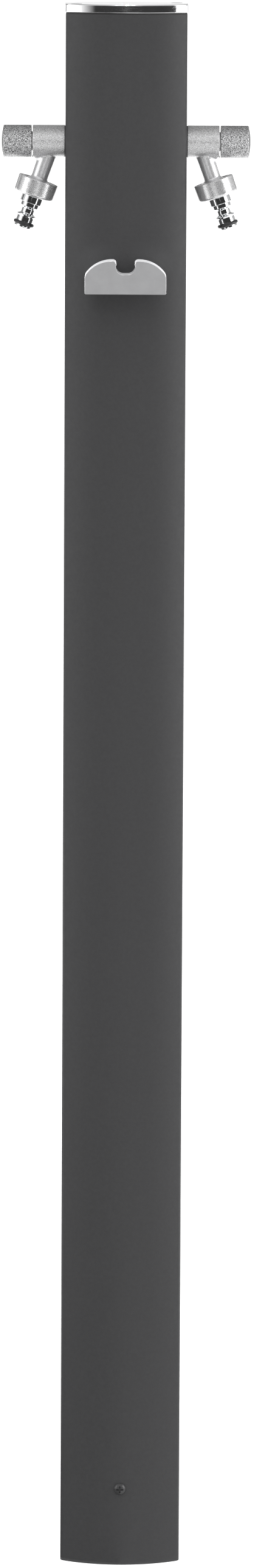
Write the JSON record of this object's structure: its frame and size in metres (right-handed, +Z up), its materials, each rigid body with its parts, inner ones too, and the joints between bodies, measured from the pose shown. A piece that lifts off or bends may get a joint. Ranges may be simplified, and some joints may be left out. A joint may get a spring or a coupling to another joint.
{
  "type": "garden standpipe",
  "caption": "Slim ground-standing water post with curved front and back, a quarter-turn hose tap on each side, a slotted hose hook on the front and a metal cap.",
  "frame": {"origin": "on the ground, midway between the two anchor holes and under the middle of the post", "axes": "+Z up along the post, +X to the right-hand tap as seen from the front, the hook's side faces -Y"},
  "size_m": [0.1886, 0.0879, 1.2012],
  "materials": {
    "post_coat": "satin",
    "cap_metal": "polished",
    "black_plastic": "matte",
    "steel": "satin",
    "hook_metal": "satin",
    "foot_metal": "matte",
    "pipe_plastic": "satin",
    "clip_plastic": "matte",
    "brass": "satin",
    "satin_chrome": "satin",
    "bright_chrome": "polished",
    "disc_ceramic": "satin",
    "black_rubber": "matte"
  },
  "bodies": {
    "stand": {"post": "post_coat", "base_screws": "post_coat", "cap": "cap_metal", "cap_plug": "black_plastic", "cap_screws": "steel", "hook_bolt": "steel", "hook_washer": "steel", "clip_screw": "steel", "hook_block": "hook_metal", "hook_spacer": "hook_metal", "base_bracket": "foot_metal", "riser_pipe": "pipe_plastic", "pipe_clip": "clip_plastic", "inlet_coupling": "brass", "inlet_nut": "brass", "tee": "brass", "tee_nut": "brass", "pipe_olives": "brass", "swivel_nuts": "brass", "tap_locknut_left": "brass", "tap_locknut_right": "brass", "tap_body_left": "satin_chrome", "tap_body_right": "satin_chrome", "union_nut_left": "satin_chrome", "union_nut_right": "satin_chrome", "cartridge_left": "satin_chrome", "cartridge_right": "satin_chrome", "hose_nipple_left": "bright_chrome", "hose_nipple_right": "bright_chrome", "seat_disc_left": "disc_ceramic", "seat_disc_right": "disc_ceramic", "swivel_washers": "black_rubber", "tap_gasket_left": "black_rubber", "tap_gasket_right": "black_rubber", "seat_seal_left": "black_rubber", "seat_seal_right": "black_rubber", "union_washer_left": "black_rubber", "union_washer_right": "black_rubber", "nipple_seal_left": "black_rubber", "nipple_seal_right": "black_rubber"},
    "knob_left": {"knob_left": "satin_chrome", "knob_screw_left": "steel", "spindle_left": "brass", "spindle_seal_left": "black_rubber", "rotor_disc_left": "disc_ceramic"},
    "knob_right": {"knob_right": "satin_chrome", "knob_screw_right": "steel", "spindle_right": "brass", "spindle_seal_right": "black_rubber", "rotor_disc_right": "disc_ceramic"}
  },
  "joints": [
    {"name": "left_knob_turn", "type": "hinge", "parent": "stand", "child": "knob_left", "pos_m": [-0.083, 0, 1.097], "axis": [-1, 0, 0], "range_deg": [0, 90]},
    {"name": "right_knob_turn", "type": "hinge", "parent": "stand", "child": "knob_right", "pos_m": [0.083, 0, 1.097], "axis": [1, 0, 0], "range_deg": [0, 90]}
  ]
}
